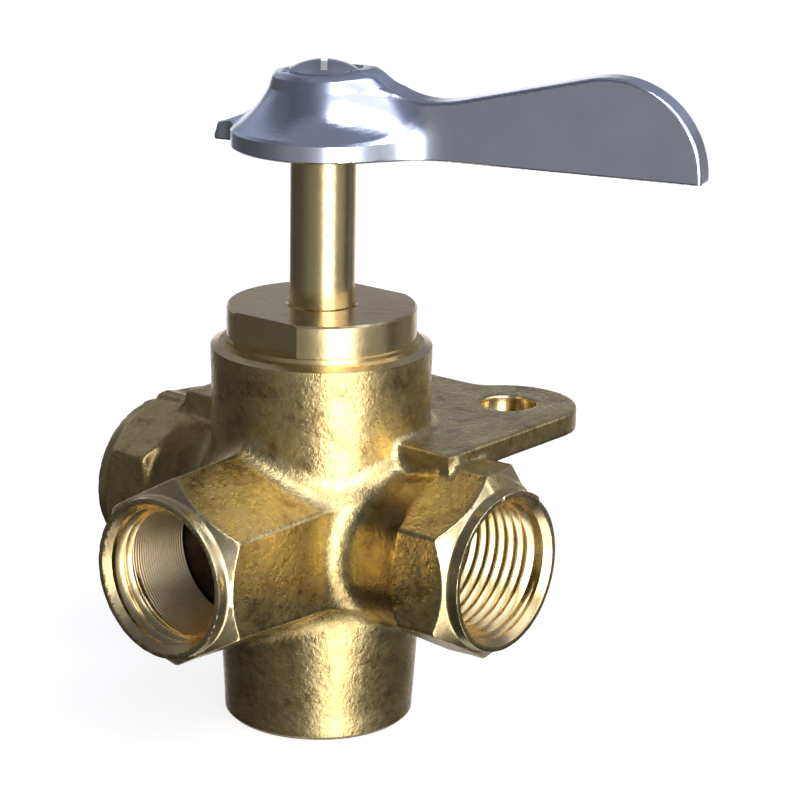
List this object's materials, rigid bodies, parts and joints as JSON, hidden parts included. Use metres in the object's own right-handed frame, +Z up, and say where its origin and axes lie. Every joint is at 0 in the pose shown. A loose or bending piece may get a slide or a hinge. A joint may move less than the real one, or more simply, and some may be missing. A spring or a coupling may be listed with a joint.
{
  "type": "selector valve",
  "caption": "Rotary selector valve: brass body with threaded side ports, a common port below, two mounting ears, a screwed cap and a lever on a stem that points to the open port.",
  "frame": {"origin": "centre of the foot port's mouth, in the bottom face, on the stem's axis", "axes": "+Z up along the stem; -Y out of the front side port; +X out of the right side port, over which the lever nearly stands at rest; +Y towards the mounting ears"},
  "size_m": [0.075, 0.0595, 0.0835],
  "materials": {
    "forged_brass": "forged, slightly grainy",
    "turned_brass": "turned, bright",
    "seal_rubber": "matte",
    "pin_steel": "ground",
    "bearing_plastic": "matte",
    "spring_steel": "bright wire and sheet",
    "ball_steel": "polished",
    "cast_aluminium": "polished casting",
    "screw_steel": "bright plated"
  },
  "bodies": {
    "body": {"valve_body": "forged_brass", "bonnet_cap": "turned_brass", "bonnet_o_ring": "seal_rubber", "stop_pin": "pin_steel", "thrust_washer": "bearing_plastic", "base_washer": "bearing_plastic"},
    "handle": {"stem": "turned_brass", "stem_o_ring_lower": "seal_rubber", "stem_o_ring_upper": "seal_rubber", "rotor": "turned_brass", "rotor_o_ring_lower": "seal_rubber", "rotor_o_ring_upper": "seal_rubber", "outlet_seal": "bearing_plastic", "outlet_spring": "spring_steel", "rotor_spring": "spring_steel", "detent_ball": "ball_steel", "detent_spring": "spring_steel", "lever_handle": "cast_aluminium", "lock_washer": "spring_steel", "handle_screw": "screw_steel"}
  },
  "joints": [
    {"name": "lever_turn", "type": "hinge", "parent": "body", "child": "handle", "pos_m": [0, 0, 0], "axis": [0, 0, 1], "range_deg": [-107, 163]}
  ]
}
